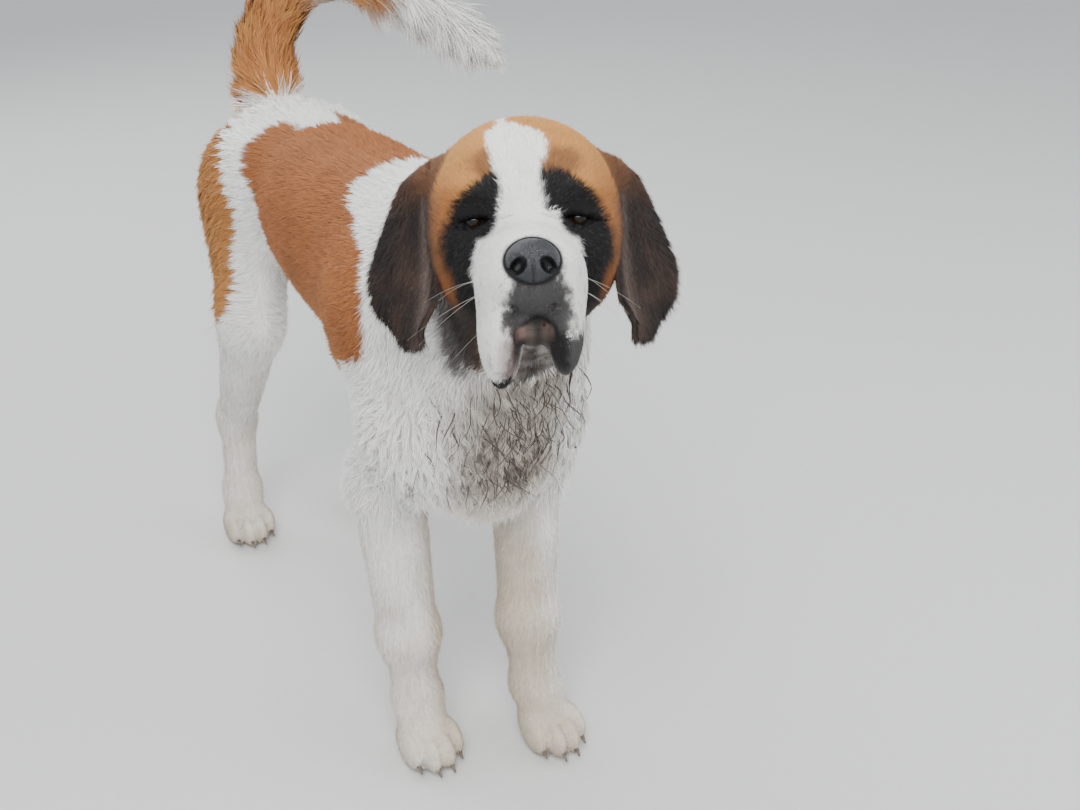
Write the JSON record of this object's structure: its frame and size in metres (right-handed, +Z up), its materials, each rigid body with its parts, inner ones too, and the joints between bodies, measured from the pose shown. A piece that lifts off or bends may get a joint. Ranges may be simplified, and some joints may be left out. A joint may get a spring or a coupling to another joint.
{
  "type": "saint bernard dog",
  "caption": "Life-size standing Saint Bernard dog with a broad head turned and lifted, hanging ears, deep flews and a tail swung up over its back.",
  "frame": {"origin": "on the floor under the middle of the whole model's box", "axes": "+Z up, the dog faces -Y with its head turned towards -X, and its left side is towards +X"},
  "size_m": [0.5762, 1.1804, 0.9931],
  "materials": {
    "coat_white": "matte",
    "coat_tan": "matte",
    "coat_dark": "matte",
    "eye": "gloss",
    "nose": "satin"
  },
  "bodies": {
    "root": {"head": "coat_tan", "eye_right": "eye", "eye_left": "eye", "nose": "nose", "ear_right": "coat_dark", "ear_left": "coat_dark", "neck": "coat_white", "chest": "coat_white", "barrel": "coat_tan", "rump": "coat_white", "haunch_right": "coat_tan", "haunch_left": "coat_tan", "tail_root": "coat_tan", "tail_middle": "coat_tan", "tail_tip": "coat_white", "foreleg_right": "coat_white", "foreleg_left": "coat_white", "forepaw_right": "coat_white", "forepaw_left": "coat_white", "hindleg_right": "coat_white", "hindleg_left": "coat_white", "hindpaw_right": "coat_white", "hindpaw_left": "coat_white"}
  },
  "joints": []
}
